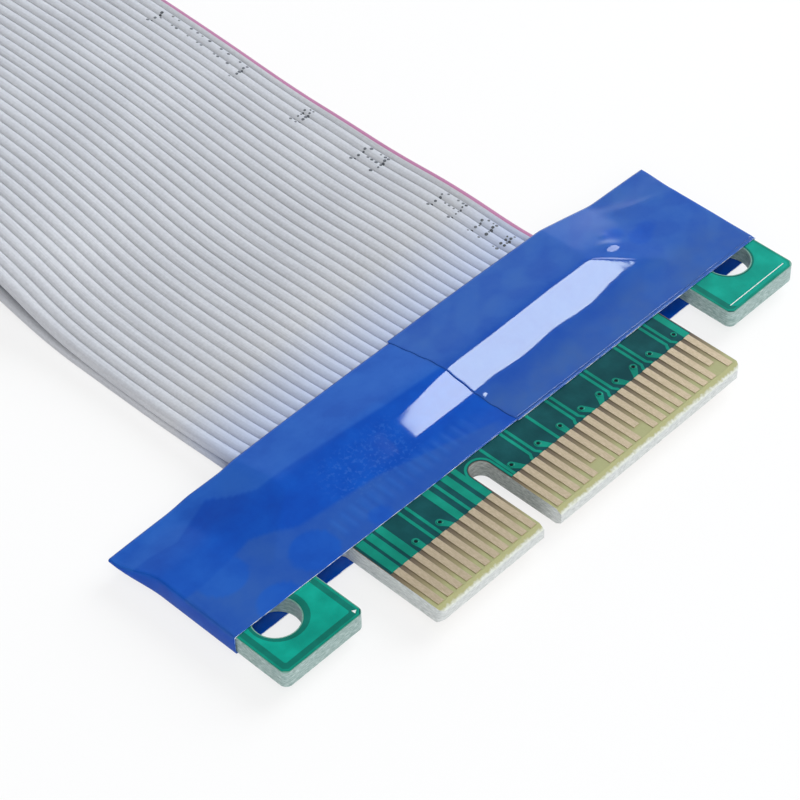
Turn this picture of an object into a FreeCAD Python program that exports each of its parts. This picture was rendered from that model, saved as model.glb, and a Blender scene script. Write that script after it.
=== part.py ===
import FreeCAD, Part
import math
import os
import re
import Sketcher

# PCIe x4 extension cable: plug board, two stacked ribbon cables and a slot socket.
# Millimetres. X runs along the contact rows, Y from the plug to the socket, Z up from the table.

doc = FreeCAD.newDocument("pcie_extension_cable")

# Driving dimensions
DIMENSIONS = {
    "overall_length": 250.0,
    "board_thickness": 1.6,
    "board_corner": 0.6,
    # contact rows, both ends
    "pitch": 1.0,
    "first_bank": 11,
    "second_bank": 21,
    "key_span": 3.0,
    # plug board
    "plug_depth": 16.8,
    "tongue_margin": 0.65,
    "ear_gap": 3.75,
    "ear_width": 8.05,
    "ear_setback": 4.05,
    "ear_gap_depth": 10.2,
    "ear_hole_diameter": 3.8,
    "ear_hole_margin": 3.3,
    "plug_hole_setback": 8.35,
    "notch_width": 1.9,
    "notch_depth": 8.2,
    "bevel_length": 0.5,
    "bevel_height": 0.35,
    "contact_width": 0.6,
    "contact_start": 0.6,
    "contact_length": 4.5,
    "short_contact_trim": 1.07,
    "contact_thickness": 0.05,
    # ribbon cables
    "wire_count": 34,
    "ribbon_thickness": 0.9,
    "ribbon_gap": 0.1,
    "ribbon_leave": 1.4,
    "insulation_lap": 1.0,
    "wire_width": 0.34,
    "wire_clearance": 0.02,
    "wire_bend": 1.1,
    "wire_length": 2.5,
    "toe_length": 0.35,
    "toe_height": 0.2,
    # blue film
    "film": 0.15,
    "film_clearance": 0.03,
    "film_lap": 8.1,
    "film_ramp_start": 5.4,
    "film_ramp_end": 0.9,
    "film_overhang": 5.1,
    "film_shoulder": 3.0,
    "film_ease": 0.3,
    # socket
    "socket_depth": 15.6,
    "socket_hole_setback": 3.4,
    "housing_depth": 11.25,
    "housing_height": 7.5,
    "housing_end_wall": 2.2,
    "housing_base_depth": 3.2,
    "housing_step": 0.35,
    "slot_clearance": 0.075,
    "slot_depth": 8.45,
    "slot_side_clearance": 0.15,
    "slot_lead_in": 0.6,
    "chamber_width": 0.62,
    "chamber_floor": 2.0,
    "chamber_headroom": 0.35,
    "spring_width": 0.45,
    "spring_thickness": 0.3,
    "spring_clearance": 0.03,
    "spring_tail": 2.2,
    "spring_crest_reach": 1.7,
    "spring_crest_rise": 0.9,
    "spring_preload": 0.25,
    "spring_contact_setback": 3.45,
    "spring_tip_setback": 1.05,
    "spring_tip_rise": 1.05,
}

sheet = doc.addObject("Spreadsheet::Sheet", "Dimensions")
for row, (alias, size) in enumerate(DIMENSIONS.items(), start=1):
    sheet.set(f"A{row}", alias)
    sheet.set(f"B{row}", str(size))
    sheet.setAlias(f"B{row}", alias)
doc.recompute()

# Places and sizes that follow from the driving dimensions
places = doc.addObject("App::VarSet", "Places")


def qualified(formula):
    """The formula with each named dimension or place written with the object that holds it."""

    def holder(word):
        name = word.group(0)
        if name in DIMENSIONS:
            return "Dimensions." + name
        return "Places." + name if name in places.PropertiesList else name

    return re.sub(r"[a-z_]+", holder, str(formula))


def place(name, formula):
    meaning = qualified(formula)
    places.addProperty("App::PropertyFloat", name, "Places")
    places.setExpression(name, meaning)
    doc.recompute()


place("board_half", "board_thickness / 2")
place("ribbon_half", "ribbon_thickness / 2")
place("plug_edge", "-overall_length / 2")
place("plug_back", "plug_edge + plug_depth")
place("plug_mid", "film + film_clearance + ribbon_thickness + board_half")
place("socket_edge", "overall_length / 2 - housing_depth")
place("socket_back", "socket_edge - socket_depth")
place("socket_mid", "housing_height / 2")
place("first_pin", "-((first_bank + second_bank - 2) * pitch + key_span) / 2")
place("second_pin", "first_pin + (first_bank - 1) * pitch + key_span")
place("key_middle", "second_pin - key_span / 2")
place("first_wire", "-(wire_count - 1) * pitch / 2")
place("ribbon_width", "(wire_count - 1) * pitch + ribbon_thickness")
place("tongue_half", "tongue_margin - first_pin")
place("ear_inner", "tongue_half + ear_gap")
place("board_side", "ear_inner + ear_width")
place("hole_side", "board_side - ear_hole_margin")
place("slot_half", "board_half + slot_clearance")
place("tail_middle", "board_half + spring_thickness / 2")
place("slit_half", "spring_thickness / 2 + spring_clearance")
place("spring_crest", "tail_middle + spring_crest_rise")
place("spring_contact", "board_half - spring_preload + spring_thickness / 2")
place("spring_tip", "spring_contact + spring_tip_rise")
place("chamber_height", "spring_crest + spring_thickness / 2 + chamber_headroom")
place("ribbon_close", "film_overhang + 2 * film")


def dim(name):
    return getattr(places, name) if name in places.PropertiesList else sheet.get(name)


def bind(thing, attribute, formula):
    thing.setExpression(attribute, qualified(formula))


def new_body(label, end):
    """A body in the frame of one end: origin on the board's middle plane at its connector edge."""
    body = doc.addObject("PartDesign::Body", label)
    body.Label = label
    body.AllowCompound = True
    bind(body, "Placement.Base.y", f"{end}_edge")
    bind(body, "Placement.Base.z", f"{end}_mid")
    return body


def origin_feature(body, role):
    return next(item for item in body.Origin.OriginFeatures if item.Role == role)


def new_sketch(body, plane, offset="0"):
    sketch = body.newObject("Sketcher::SketchObject", body.Label + "_sketch")
    sketch.AttachmentSupport = [(origin_feature(body, plane), "")]
    sketch.MapMode = "FlatFace"
    bind(sketch, "AttachmentOffset.Base.z", offset)
    return sketch


def fix_point(sketch, geometry, vertex, start, formulas):
    """Hold one vertex of a sketch at a pair of formulas, measured from the sketch's origin."""
    for kind, value, formula in zip(("DistanceX", "DistanceY"), start, formulas):
        number = sketch.addConstraint(Sketcher.Constraint(kind, -1, 1, geometry, vertex, value))
        bind(sketch, f"Constraints[{number}]", formula)


def add_polygon(sketch, corners):
    """A closed outline whose corners are pairs of formulas."""
    count = len(corners)
    first = sketch.GeometryCount
    ring = [(math.cos(math.tau * i / count), math.sin(math.tau * i / count)) for i in range(count)]
    for i in range(count):
        start = FreeCAD.Vector(*ring[i], 0)
        end = FreeCAD.Vector(*ring[(i + 1) % count], 0)
        sketch.addGeometry(Part.LineSegment(start, end), False)
    for i in range(count):
        following = first + (i + 1) % count
        sketch.addConstraint(Sketcher.Constraint("Coincident", first + i, 2, following, 1))
    for i, corner in enumerate(corners):
        fix_point(sketch, first + i, 1, ring[i], corner)


def add_rectangle(sketch, left, right, low, high):
    add_polygon(sketch, [(left, low), (right, low), (right, high), (left, high)])


def add_circle(sketch, middle, diameter):
    circle = Part.Circle(FreeCAD.Vector(1, 1, 0), FreeCAD.Vector(0, 0, 1), 1)
    number = sketch.addGeometry(circle, False)
    fix_point(sketch, number, 3, (1, 1), middle)
    size = sketch.addConstraint(Sketcher.Constraint("Diameter", number, 2))
    bind(sketch, f"Constraints[{size}]", diameter)


def add_feature(body, kind, sketch, length=None, both_ways=False, reverse=False):
    """A Pad or a Pocket of a sketch; with no length it goes through everything."""
    feature = body.newObject("PartDesign::" + kind, f"{body.Label}_{kind.lower()}")
    feature.Profile = sketch
    if length is None:
        feature.Type = "ThroughAll"
    else:
        bind(feature, "Length", length)
    feature.SideType = "Symmetric" if both_ways else "One side"
    feature.Reversed = reverse
    doc.recompute()
    return feature


def add_row(body, feature, count):
    """Repeat a feature along X at the contact pitch."""
    row = body.newObject("PartDesign::LinearPattern", body.Label + "_row")
    row.Originals = [feature]
    row.Direction = (origin_feature(body, "X_Axis"), [""])
    row.Mode = "Spacing"
    bind(row, "Offset", "pitch")
    bind(row, "Occurrences", count)
    body.Tip = row
    doc.recompute()


def add_banks(body, make):
    """Both banks of contacts: make(x) gives the first feature of a bank that starts at x."""
    for start, count in (("first_pin", "first_bank"), ("second_pin", "second_bank")):
        add_row(body, make(start), count)


def back_from(end, distance):
    """Y of a point that lies a distance inside the edge where the ribbon leaves the board."""
    sign = "" if end == "plug" else "-"
    return f"{sign}({end}_depth - ({distance}))"


def signed(side, formula):
    return f"{side} * ({formula})"


# Plug board: routed laminate with a keyed tongue, two ears and a bevelled contact edge
def make_plug_board():
    body = new_body("plug_board", "plug")
    outline = new_sketch(body, "XY_Plane", "-board_half")
    half = [
        ("tongue_half", "0"),
        ("tongue_half", "ear_gap_depth"),
        ("ear_inner", "ear_gap_depth"),
        ("ear_inner", "ear_setback"),
        ("board_side", "ear_setback"),
        ("board_side", "plug_depth"),
    ]
    add_polygon(outline, half + [(f"-{x}", y) for x, y in reversed(half)])
    panel = add_feature(body, "Pad", outline, "board_thickness")
    add_routed_corners(body, panel)
    holes = new_sketch(body, "XY_Plane", "board_half")
    for side in ("-", ""):
        add_circle(holes, (side + "hole_side", "plug_hole_setback"), "ear_hole_diameter")
    add_feature(body, "Pocket", holes)
    notch = new_sketch(body, "XY_Plane", "board_half")
    notch_end = "notch_depth - notch_width / 2"
    left, right = "key_middle - notch_width / 2", "key_middle + notch_width / 2"
    add_rectangle(notch, left, right, "-bevel_length", notch_end)
    add_feature(body, "Pocket", notch)
    round_end = new_sketch(body, "XY_Plane", "board_half")
    add_circle(round_end, ("key_middle", notch_end), "notch_width")
    add_feature(body, "Pocket", round_end)
    bevel = new_sketch(body, "YZ_Plane")
    for side in (1, -1):
        inner = signed(side, "board_half - bevel_height")
        outer = signed(side, "board_half + bevel_height")
        face = signed(side, "board_half")
        wedge = [("0", inner), ("bevel_length", face), ("bevel_length", outer)]
        add_polygon(bevel, wedge + [("-bevel_length", outer), ("-bevel_length", inner)])
    add_feature(body, "Pocket", bevel, "4 * board_side", both_ways=True)
    return body


def add_routed_corners(body, panel):
    """Round every upright edge of a panel, as the router's cutter leaves it."""
    upright = [
        f"Edge{number}"
        for number, edge in enumerate(panel.Shape.Edges, start=1)
        if abs(edge.tangentAt(edge.FirstParameter).z) > 0.99
    ]
    corners = body.newObject("PartDesign::Fillet", body.Label + "_corners")
    corners.Base = (panel, upright)
    bind(corners, "Radius", "board_corner")
    doc.recompute()


# Edge contacts: gold plated copper on each face of the tongue, a few set back as presence pins
def make_plug_contacts(label, side, short_pins):
    body = new_body(label, "plug")
    surface = signed(side, "board_half")

    def first_contact(x):
        sketch = new_sketch(body, "XY_Plane", surface)
        add_rectangle(sketch, f"{x} - contact_width / 2", f"{x} + contact_width / 2",
                      "contact_start", "contact_start + contact_length")
        return add_feature(body, "Pad", sketch, "contact_thickness", reverse=side < 0)

    add_banks(body, first_contact)
    trim = new_sketch(body, "XY_Plane", signed(side, "board_half + contact_thickness"))
    for pin in short_pins:
        middle = f"first_pin + ({pin} - 1) * pitch"
        if pin > DIMENSIONS["first_bank"]:
            middle = f"second_pin + ({pin} - 1 - first_bank) * pitch"
        add_rectangle(trim, f"{middle} - pitch / 2", f"{middle} + pitch / 2",
                      "0", "contact_start + short_contact_trim")
    body.Tip = add_feature(body, "Pocket", trim, "2 * contact_thickness", reverse=side < 0)
    return body


# Ribbon cables: flat grey strips along a route of straight runs joined by tangent arcs. The lower one
# is lifted off the table, and the upper one lies a little clear of it, by amounts that vary on the way.
def make_ribbon(label, side):
    half = dim("ribbon_half")
    lap = dim("insulation_lap")
    board_level = side * (dim("board_half") + half)
    close_level = side * (dim("ribbon_gap") / 2 + half)
    near_plug = (14.2, 26.0, 45.0, 78.0)
    near_socket = (78.0, 40.0, 20.0, 10.5)
    lifts = (0.5, 0.8, 1.45, 1.25, 0.15, 0.13, 0.75, 1.95)
    spreads = (0.25, 0.6, 0.75, 0.7, 0.25, 0.12, 0.4, 0.1)
    heights = [half + lift for lift in lifts]
    if side > 0:
        heights = [low + 2 * half + spread for low, spread in zip(heights, spreads)]
    plug, socket = dim("plug_back"), dim("socket_back")
    leave, close = dim("ribbon_leave"), dim("ribbon_close")
    route = [
        (plug - lap, dim("plug_mid") + board_level),
        (plug + leave, dim("plug_mid") + board_level),
        (plug + close, dim("plug_mid") + close_level),
    ]
    middle = [plug + reach for reach in near_plug] + [socket - reach for reach in near_socket]
    route += list(zip(middle, heights))
    route += [
        (socket - close, dim("socket_mid") + close_level),
        (socket - leave, dim("socket_mid") + board_level),
        (socket + lap, dim("socket_mid") + board_level),
    ]
    spine = route_wire(label, [FreeCAD.Vector(0, y, z) for y, z in route])
    edge_x = dim("ribbon_width") / 2
    flat_x = edge_x - half
    upper = [(-flat_x, half), (flat_x, half), (edge_x, 0)]
    section = upper + [(-x, -z) for x, z in upper]
    start = FreeCAD.Vector(0, *route[0])
    ring = [start + FreeCAD.Vector(x, 0, z) for x, z in section]
    edge = Part.makePolygon(ring + ring[:1])
    ribbon = doc.addObject("Part::Feature", label)
    ribbon.Label = label
    ribbon.Shape = spine.makePipeShell([edge], True, False)
    expected = Part.Face(edge).Area * spine.Length
    share = ribbon.Shape.Volume / expected
    print(f"{label}: length {spine.Length:.2f} mm, volume {share:.4f} of section times length")
    return ribbon


def route_wire(label, points):
    """Straight runs joined by arcs, each as large as its two runs allow."""
    share = 0.45
    edges = []
    radii = []
    begin = points[0]
    for before, corner, after in zip(points, points[1:], points[2:]):
        into, out = corner - before, after - corner
        reach = share * min(into.Length, out.Length)
        turn = into.getAngle(out)
        into.normalize()
        out.normalize()
        arc_start, arc_end = corner - into * reach, corner + out * reach
        radius = reach / math.tan(turn / 2)
        towards_middle = (out - into).normalize()
        middle = corner + towards_middle * (radius / math.cos(turn / 2) - radius)
        edges.append(Part.LineSegment(begin, arc_start).toShape())
        edges.append(Part.Arc(arc_start, middle, arc_end).toShape())
        radii.append(round(radius, 1))
        begin = arc_end
    edges.append(Part.LineSegment(begin, points[-1]).toShape())
    print(f"{label}: bend radii {radii}")
    return Part.Wire(edges)


# Bared wire ends: stepped down from the insulation to lie flat on the board
def make_wires(label, end, side):
    body = new_body(label, end)
    sketch = new_sketch(body, "YZ_Plane", "first_wire")
    start = "insulation_lap + wire_clearance"
    bent = f"{start} + wire_bend"
    tip = f"{start} + wire_length"
    profile = [
        (start, "ribbon_half + wire_width / 2"),
        (tip, "wire_width"),
        (tip, "0"),
        (bent, "0"),
        (start, "ribbon_half - wire_width / 2"),
    ]
    add_polygon(sketch, [(back_from(end, d), signed(side, f"board_half + {z}")) for d, z in profile])
    add_row(body, add_feature(body, "Pad", sketch, "wire_width", both_ways=True), "wire_count")
    return body


# Solder: the wedge in front of each wire end
def make_solder(label, end, side):
    body = new_body(label, end)
    tip = "insulation_lap + wire_clearance + wire_length"
    toe = [(tip, "0"), (f"{tip} + toe_length", "0"), (tip, "toe_height")]
    sketch = new_sketch(body, "YZ_Plane", "first_wire")
    add_polygon(sketch, [(back_from(end, d), signed(side, f"board_half + {z}")) for d, z in toe])
    add_row(body, add_feature(body, "Pad", sketch, "wire_width", both_ways=True), "wire_count")
    return body


# Blue film: one turn round the board and both ribbon ends, pinched flat behind the board
def make_tape(label, end):
    clear, film = dim("film_clearance"), dim("film")
    board = dim("board_half") + clear
    over_ribbon = board + dim("ribbon_thickness")
    closed_ribbon = dim("ribbon_gap") / 2 + dim("ribbon_thickness") + dim("film_ease")
    pinched = clear / 2
    leave = dim("ribbon_leave") + film
    stations = [
        (-dim("film_lap"), board, board),
        (-dim("film_ramp_start"), board, board),
        (-dim("film_ramp_end"), over_ribbon, board),
        (leave, over_ribbon, board),
        (dim("film_overhang"), closed_ribbon, pinched),
    ]
    skin = [film_section(d, top + film, low + film, film) for d, top, low in stations]
    first, last = stations[0], stations[-1]
    beyond = [(first[0] - film, *first[1:])] + stations + [(last[0] + film, *last[1:])]
    room = [film_section(d, top, low, 0) for d, top, low in beyond]
    tape = doc.addObject("Part::Feature", label)
    tape.Label = label
    tape.Shape = Part.makeLoft(skin, True, True).cut(Part.makeLoft(room, True, True))
    turn = FreeCAD.Rotation(FreeCAD.Vector(0, 0, 1), 0 if end == "plug" else 180)
    tape.Placement = FreeCAD.Placement(FreeCAD.Vector(0, dim(f"{end}_back"), dim(f"{end}_mid")), turn)
    return tape


def film_section(distance, ribbon_level, side_level, extra):
    """Outline across the film at a distance behind the board: raised over the ribbon, low beside it."""
    ribbon = dim("ribbon_width") / 2 + dim("film_clearance") + extra
    shoulder = ribbon + dim("film_shoulder")
    side = dim("board_side") + dim("film_clearance") + extra
    upper = [(-side, side_level), (-shoulder, side_level), (-ribbon, ribbon_level),
             (ribbon, ribbon_level), (shoulder, side_level), (side, side_level)]
    ring = upper + [(x, -z) for x, z in reversed(upper)]
    corners = [FreeCAD.Vector(x, distance, z) for x, z in ring]
    return Part.makePolygon(corners + corners[:1])


# Socket board: plain laminate that carries the housing at its front edge, with two screw holes
def make_socket_board():
    body = new_body("socket_board", "socket")
    outline = new_sketch(body, "XY_Plane", "-board_half")
    add_rectangle(outline, "-board_side", "board_side", "-socket_depth", "0")
    panel = add_feature(body, "Pad", outline, "board_thickness")
    add_routed_corners(body, panel)
    holes = new_sketch(body, "XY_Plane", "board_half")
    for side in ("-", ""):
        add_circle(holes, (side + "hole_side", "-socket_hole_setback"), "ear_hole_diameter")
    body.Tip = add_feature(body, "Pocket", holes)
    return body


# Socket housing: moulded body with a keyed slot and one chamber and tail slit for each contact
def make_socket_housing():
    body = new_body("socket_housing", "socket")
    shell = new_sketch(body, "YZ_Plane")
    half = [
        ("0", "housing_height / 2"),
        ("housing_base_depth", "housing_height / 2"),
        ("housing_base_depth + housing_step", "housing_height / 2 - housing_step"),
        ("housing_depth - housing_step", "housing_height / 2 - housing_step"),
        ("housing_depth", "housing_height / 2 - 2 * housing_step"),
    ]
    add_polygon(shell, half + [(y, f"-({z})") for y, z in reversed(half)])
    length = "2 * (tongue_half + slot_side_clearance + housing_end_wall)"
    add_feature(body, "Pad", shell, length, both_ways=True)
    key_half = "notch_width / 2 - slot_side_clearance"
    end = "tongue_half + slot_side_clearance"
    add_slot(body, f"key_middle - ({key_half})", f"key_middle - ({key_half}) + {end}")
    add_slot(body, end, f"{end} - key_middle - ({key_half})")
    for side in (1, -1):
        add_banks(body, lambda x: add_chamber(body, x, side))
    return body


def add_slot(body, right_end, length):
    """One pocket of the slot, flared at the mouth, from its right end towards the left."""
    sketch = new_sketch(body, "YZ_Plane", right_end)
    floor = "housing_depth - slot_depth"
    mouth = "slot_half + slot_lead_in"
    half = [(floor, "slot_half"), ("housing_depth - slot_lead_in", "slot_half"), ("housing_depth", mouth)]
    add_polygon(sketch, half + [(y, f"-({z})") for y, z in reversed(half)])
    add_feature(body, "Pocket", sketch, length)


def add_chamber(body, x, side):
    """Room for one contact to flex, with a slit through the back wall for its tail."""
    sketch = new_sketch(body, "YZ_Plane", x)
    low, high = "tail_middle - slit_half", "tail_middle + slit_half"
    outline = [
        ("-spring_clearance", low),
        ("housing_depth + spring_clearance", low),
        ("housing_depth + spring_clearance", "chamber_height"),
        ("chamber_floor", "chamber_height"),
        ("chamber_floor", high),
        ("-spring_clearance", high),
    ]
    add_polygon(sketch, [(y, signed(side, z)) for y, z in outline])
    return add_feature(body, "Pocket", sketch, "chamber_width", both_ways=True)


# Socket contacts: bent bronze strips, tail on the board, bow in the slot, tip turned out as lead-in
def make_socket_contacts(label, side):
    body = new_body(label, "socket")
    bends = [
        ("-spring_tail", "tail_middle"),
        ("chamber_floor + spring_thickness", "tail_middle"),
        ("chamber_floor + spring_crest_reach", "spring_crest"),
        ("housing_depth - spring_contact_setback", "spring_contact"),
        ("housing_depth - spring_tip_setback", "spring_tip"),
    ]
    outer = [(y, f"{z} + spring_thickness / 2") for y, z in bends]
    inner = [(y, f"{z} - spring_thickness / 2") for y, z in reversed(bends)]

    def first_spring(x):
        sketch = new_sketch(body, "YZ_Plane", x)
        add_polygon(sketch, [(y, signed(side, z)) for y, z in outer + inner])
        return add_feature(body, "Pad", sketch, "spring_width", both_ways=True)

    add_banks(body, first_spring)
    return body


# Toe fillets: the wedge of solder in front of each contact tail
def make_tail_solder(label, side):
    body = new_body(label, "socket")
    toe = [("-spring_tail", "0"), ("-spring_tail - toe_length", "0"), ("-spring_tail", "toe_height")]

    def first_toe(x):
        sketch = new_sketch(body, "YZ_Plane", x)
        add_polygon(sketch, [(y, signed(side, f"board_half + {z}")) for y, z in toe])
        return add_feature(body, "Pad", sketch, "spring_width", both_ways=True)

    add_banks(body, first_toe)
    return body


FACES = {"top": 1, "bottom": -1}
SHORT_PINS = {"top": (17, 22, 31), "bottom": (1,)}

sub_parts = [make_plug_board()]
for face, side in FACES.items():
    sub_parts.append(make_plug_contacts(f"plug_contacts_{face}", side, SHORT_PINS[face]))
sub_parts += [make_ribbon("upper_ribbon", 1), make_ribbon("lower_ribbon", -1)]
sub_parts += [make_socket_board(), make_socket_housing()]
for face, side in FACES.items():
    sub_parts.append(make_socket_contacts(f"socket_contacts_{face}", side))
    sub_parts.append(make_tail_solder(f"socket_tail_solder_{face}", side))
    for end in ("plug", "socket"):
        sub_parts.append(make_wires(f"{end}_wires_{face}", end, side))
        sub_parts.append(make_solder(f"{end}_solder_{face}", end, side))
sub_parts += [make_tape("plug_tape", "plug"), make_tape("socket_tape", "socket")]

doc.recompute()
failed = [item.Name for item in doc.Objects if "Invalid" in item.State or "Error" in item.State]
failed += [part.Label for part in sub_parts if part.Shape.isNull() or not part.Shape.isValid()]
if failed:
    raise RuntimeError("not built: " + ", ".join(failed))
os.makedirs("parts", exist_ok=True)
for part in sub_parts:
    part.Shape.exportStep(f"parts/{part.Label}.step")
    print(f"{part.Label}: {len(part.Shape.Solids)} solids, {part.Shape.Volume:.3f} mm3")
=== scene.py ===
import math

import bmesh
import bpy
import numpy as np
from mathutils import Matrix, Vector
from mathutils.bvhtree import BVHTree


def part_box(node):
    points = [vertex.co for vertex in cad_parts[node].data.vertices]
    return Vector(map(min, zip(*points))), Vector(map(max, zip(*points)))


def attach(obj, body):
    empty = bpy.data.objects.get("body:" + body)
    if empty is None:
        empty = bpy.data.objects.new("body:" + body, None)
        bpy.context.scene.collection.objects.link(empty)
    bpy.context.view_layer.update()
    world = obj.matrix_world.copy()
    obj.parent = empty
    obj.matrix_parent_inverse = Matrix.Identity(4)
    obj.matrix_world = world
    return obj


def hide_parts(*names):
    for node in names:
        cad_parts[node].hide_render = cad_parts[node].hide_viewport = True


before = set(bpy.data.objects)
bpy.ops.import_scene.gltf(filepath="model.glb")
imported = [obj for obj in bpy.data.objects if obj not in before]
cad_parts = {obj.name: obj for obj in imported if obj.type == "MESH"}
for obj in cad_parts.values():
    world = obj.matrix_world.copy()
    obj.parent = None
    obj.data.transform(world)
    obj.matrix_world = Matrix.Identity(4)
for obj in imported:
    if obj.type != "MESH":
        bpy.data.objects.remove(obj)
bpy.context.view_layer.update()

# Plug board: a 1.6 mm card of glass cloth and epoxy, routed to an outline with two holed ears and a keyed
# tongue. Its cut edges are pale and show the glass bundles, and the resin is bare between the contacts.
mm = 0.001
plug_tip = -125.0
key_x = -5.0
mask_line = 5.1


def colour(code):
    parts = [int(code[i:i + 2], 16) / 255 for i in (1, 3, 5)]
    return [c / 12.92 if c <= 0.04045 else ((c + 0.055) / 1.055) ** 2.4 for c in parts] + [1.0]


def feed(tree, node, sockets):
    for key, value in sockets.items():
        if isinstance(value, bpy.types.NodeSocket):
            tree.links.new(value, node.inputs[key])
        else:
            node.inputs[key].default_value = value


def add(tree, kind, sockets=None, **settings):
    node = tree.nodes.new(kind)
    for key, value in settings.items():
        setattr(node, key, value)
    feed(tree, node, sockets or {})
    return node


def new_finish(name):
    material = bpy.data.materials.new(name)
    material.use_nodes = True
    tree = material.node_tree
    place = add(tree, "ShaderNodeTexCoord").outputs["Object"]
    return material, tree, tree.nodes["Principled BSDF"], place


def set_stops(ramp, stops):
    while len(ramp.color_ramp.elements) < len(stops):
        ramp.color_ramp.elements.new(0.5)
    for element, (place, code) in zip(ramp.color_ramp.elements, stops):
        element.position = place
        element.color = colour(code)


def finish_nodes(material, *names):
    for name in names:
        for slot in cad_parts[name].material_slots:
            slot.material = material


# Glass and epoxy laminate, routed: the flat faces are an olive resin that is browner towards the mask. The
# cut edges show the glass bundles, whitish and chipped at the bevel and greyer on the ears; in the notch they
# are a darker grey, painted shade.
laminate, tree, shader, place = new_finish("glass epoxy laminate, cut edge")
normal = add(tree, "ShaderNodeNewGeometry").outputs["Normal"]
upright = add(tree, "ShaderNodeSeparateXYZ", {0: normal}).outputs["Z"]
upright = add(tree, "ShaderNodeMath", {0: upright}, operation="ABSOLUTE").outputs[0]
spot = add(tree, "ShaderNodeSeparateXYZ", {0: place}).outputs
towards_mask = add(tree, "ShaderNodeMapRange", {"Value": spot["Y"], "From Min": (plug_tip + 1.4) * mm,
                                                "From Max": (plug_tip + mask_line) * mm})
resin = add(tree, "ShaderNodeValToRGB", {"Fac": towards_mask.outputs["Result"]})
set_stops(resin, [(0.0, "#A4A473"), (0.19, "#968D65"), (0.59, "#7D6F52"), (0.87, "#655643"),
                  (1.0, "#5A4C3C")])
to_side = add(tree, "ShaderNodeMath", {0: spot["X"]}, operation="ABSOLUTE")
on_ear = add(tree, "ShaderNodeMath", {0: to_side.outputs[0], 1: 17.5 * mm},
             operation="GREATER_THAN").outputs[0]
resin = add(tree, "ShaderNodeMix", {0: on_ear, 6: resin.outputs[0], 7: colour("#6FA090")}, data_type="RGBA")
# Bundles are about 0.12 mm thick and 0.5 mm long where the cutter broke them.
bundle = add(tree, "ShaderNodeMapping", {"Vector": place, "Scale": [1 / (s * mm) for s in (0.5, 0.5, 0.12)]})
streak = add(tree, "ShaderNodeTexNoise",
             {"Vector": bundle.outputs[0], "Scale": 1.0, "Detail": 6.0, "Roughness": 0.7})
cuts = {}
# The notch palette is darker: painted shade on the walls of the notch.
for where, tints in (("bevel", ("#ABB0AF", "#C8CCCB", "#DCDFDE", "#EFF1F0")),
                     ("ear", ("#69867F", "#8CA6A2", "#AEC2BF", "#D8E1DF")),
                     ("notch", ("#6B716F", "#949A97", "#B6BAB7", "#DADCDA"))):
    ramp = add(tree, "ShaderNodeValToRGB", {"Fac": streak.outputs["Fac"]})
    set_stops(ramp, list(zip((0.30, 0.46, 0.60, 0.75), tints)))
    cuts[where] = ramp.outputs[0]
near_key = add(tree, "ShaderNodeMath", {0: spot["X"], 1: key_x * mm, 2: 1.4 * mm}, operation="COMPARE")
at_plug = add(tree, "ShaderNodeMath", {0: spot["Y"], 1: 0.0}, operation="LESS_THAN")
past_tip = add(tree, "ShaderNodeMapRange", {"Value": spot["Y"], "From Min": (plug_tip + 0.6) * mm,
                                            "From Max": (plug_tip + 2.4) * mm})
in_notch = add(tree, "ShaderNodeMath", {0: near_key.outputs[0], 1: at_plug.outputs[0]}, operation="MULTIPLY")
in_notch = add(tree, "ShaderNodeMath", {0: in_notch.outputs[0], 1: past_tip.outputs["Result"]},
               operation="MULTIPLY")
lip = add(tree, "ShaderNodeMapRange", {"Value": upright, "From Min": 0.4, "From Max": 0.7, "To Max": 0.8})
# The resin ends in a ragged line of chips along the bevel.
chip = add(tree, "ShaderNodeTexNoise", {"Vector": place, "Scale": 1 / (0.3 * mm), "Detail": 5.0})
ragged = add(tree, "ShaderNodeMath", {0: chip.outputs["Fac"], 1: 0.45 * mm, 2: spot["Y"]},
             operation="MULTIPLY_ADD")
past_bevel = add(tree, "ShaderNodeMapRange", {"Value": ragged.outputs[0], "From Min": (plug_tip + 0.29) * mm,
                                              "From Max": (plug_tip + 0.51) * mm})
level = add(tree, "ShaderNodeMapRange", {"Value": upright, "From Min": 0.5, "From Max": 0.75})
flat = add(tree, "ShaderNodeMath", {0: level.outputs["Result"], 1: past_bevel.outputs["Result"]},
           operation="MINIMUM")
shown = cuts["bevel"]
for share, tint in ((on_ear, cuts["ear"]), (in_notch.outputs[0], cuts["notch"]),
                    (lip.outputs["Result"], colour("#D6D9D0")), (flat.outputs[0], resin.outputs[2])):
    shown = add(tree, "ShaderNodeMix", {0: share, 6: shown, 7: tint}, data_type="RGBA").outputs[2]
cloth = add(tree, "ShaderNodeTexNoise", {"Vector": place, "Scale": 1 / (0.35 * mm), "Detail": 4.0})
rise = add(tree, "ShaderNodeBump", {"Height": cloth.outputs["Fac"], "Strength": 0.35, "Distance": 0.05 * mm})
feed(tree, shader, {"Base Color": shown, "Normal": rise.outputs[0], "Roughness": 0.48})
finish_nodes(laminate, "plug_board")

# Plug board lacquer and circuit: green solder mask printed over the laminate up to the contacts, with the
# etched copper of the traces, vias and ear pours standing a little proud under it and showing brighter.
plug_faces = {"top": (2.68, 1), "bottom": (1.08, -1)}
mask_depth = 0.012
copper_depth = 0.028
board_side = 28.95
tongue_half = 17.15
notch_end = 7.25
ear_front = 4.05
ear_inner = 20.9
ear_gap_end = 10.2
ear_hole = (25.65, 8.35)
hole_in_mask = 2.0
first_bank = 11
trace_foot = mask_line + 0.02
trace_end = 11.0
thin_trace = 0.27
wide_trace = 0.7
pour_end = 12.8


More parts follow.
